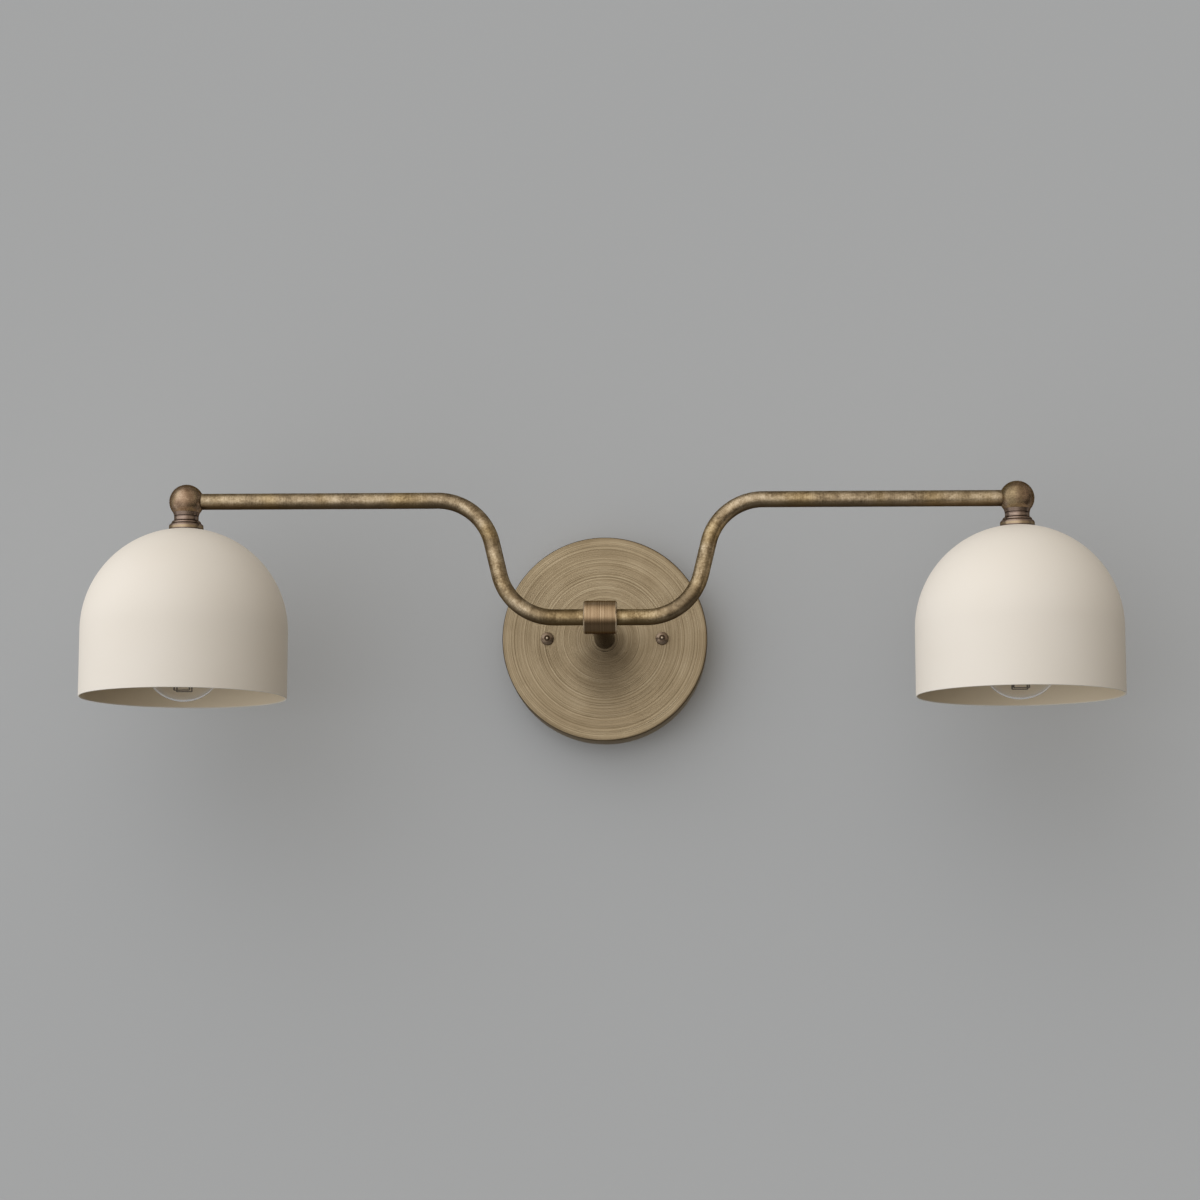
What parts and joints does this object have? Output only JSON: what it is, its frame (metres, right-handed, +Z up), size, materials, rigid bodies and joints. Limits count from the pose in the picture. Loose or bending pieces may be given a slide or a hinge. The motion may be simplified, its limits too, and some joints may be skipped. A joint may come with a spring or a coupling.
{
  "type": "double arm wall light",
  "caption": "Wall light with a round brass backplate, a stem and hub, S-bent tube arms and domed metal shades that open downwards over screw-in bulbs.",
  "frame": {"origin": "middle of the wall bracket's back face, in the plane of the wall, centred between its two screw slots", "axes": "+Z up, +X to the right seen from the room and along the arms, +Y into the wall, so the light stands out along -Y"},
  "size_m": [0.609, 0.1875, 0.1432],
  "materials": {
    "turned_brass": "aged, brushed in turned rings",
    "aged_tube_brass": "mottled dark patina over satin tube",
    "bronzed_ball": "satin, pinkish brown patina",
    "bone_paint": "matte bone",
    "bracket_steel": "zinc plated",
    "earth_green": "green dyed zinc",
    "earth_copper": "bare copper",
    "connector_plastic": "moulded",
    "socket_plastic": "moulded phenolic",
    "contact_brass": "bright pressed",
    "wire_sleeve": "smooth sleeve",
    "solder": "solder",
    "bulb_insulator_glass": "black glass",
    "bulb_cap_metal": "rolled thread",
    "clear_glass": "clear",
    "filament_phosphor": "phosphor coated rod"
  },
  "bodies": {
    "wall_bracket": {"box_bar": "bracket_steel"},
    "fixture": {"stud_bar": "bracket_steel", "canopy_studs": "bracket_steel", "earth_screw": "earth_green", "earth_lead": "earth_copper", "backplate": "turned_brass", "stem_ring": "turned_brass", "stem": "turned_brass", "centre_nipple": "bracket_steel", "centre_washer": "bracket_steel", "centre_locknut": "bracket_steel", "hub": "turned_brass", "hub_set_screws": "bracket_steel", "wire_connectors": "connector_plastic", "arm_left": "aged_tube_brass", "ball_left": "bronzed_ball", "neck_left": "turned_brass", "shade_nipple_left": "bracket_steel", "shade_left": "bone_paint", "shade_washer_left": "bracket_steel", "shade_locknut_left": "bracket_steel", "socket_body_left": "socket_plastic", "socket_shell_left": "contact_brass", "socket_contact_left": "contact_brass", "wires_left": "wire_sleeve", "arm_right": "aged_tube_brass", "ball_right": "bronzed_ball", "neck_right": "turned_brass", "shade_nipple_right": "bracket_steel", "shade_right": "bone_paint", "shade_washer_right": "bracket_steel", "shade_locknut_right": "bracket_steel", "socket_body_right": "socket_plastic", "socket_shell_right": "contact_brass", "socket_contact_right": "contact_brass", "wires_right": "wire_sleeve"},
    "bulb_left": {"bulb_contact_left": "solder", "bulb_insulator_left": "bulb_insulator_glass", "bulb_cap_left": "bulb_cap_metal", "bulb_glass_left": "clear_glass", "bulb_mount_left": "clear_glass", "bulb_bridges_left": "bracket_steel", "bulb_filaments_left": "filament_phosphor"},
    "cap_nut_left": {"cap_nut_left": "turned_brass"},
    "bulb_right": {"bulb_contact_right": "solder", "bulb_insulator_right": "bulb_insulator_glass", "bulb_cap_right": "bulb_cap_metal", "bulb_glass_right": "clear_glass", "bulb_mount_right": "clear_glass", "bulb_bridges_right": "bracket_steel", "bulb_filaments_right": "filament_phosphor"},
    "cap_nut_right": {"cap_nut_right": "turned_brass"}
  },
  "joints": [
    {"name": "level_swivel", "type": "hinge", "parent": "wall_bracket", "child": "fixture", "pos_m": [0, -0.003, 0], "axis": [0, 1, 0], "range_deg": [-8, 8]},
    {"name": "bulb_left_out", "type": "slide", "parent": "fixture", "child": "bulb_left", "axis": [0, 0, -1], "range_m": [0, 0.12]},
    {"name": "bulb_right_out", "type": "slide", "parent": "fixture", "child": "bulb_right", "axis": [0, 0, -1], "range_m": [0, 0.12]},
    {"name": "cap_nut_left_off", "type": "slide", "parent": "fixture", "child": "cap_nut_left", "axis": [0, -1, 0], "range_m": [0, 0.03]},
    {"name": "cap_nut_right_off", "type": "slide", "parent": "fixture", "child": "cap_nut_right", "axis": [0, -1, 0], "range_m": [0, 0.03]}
  ]
}
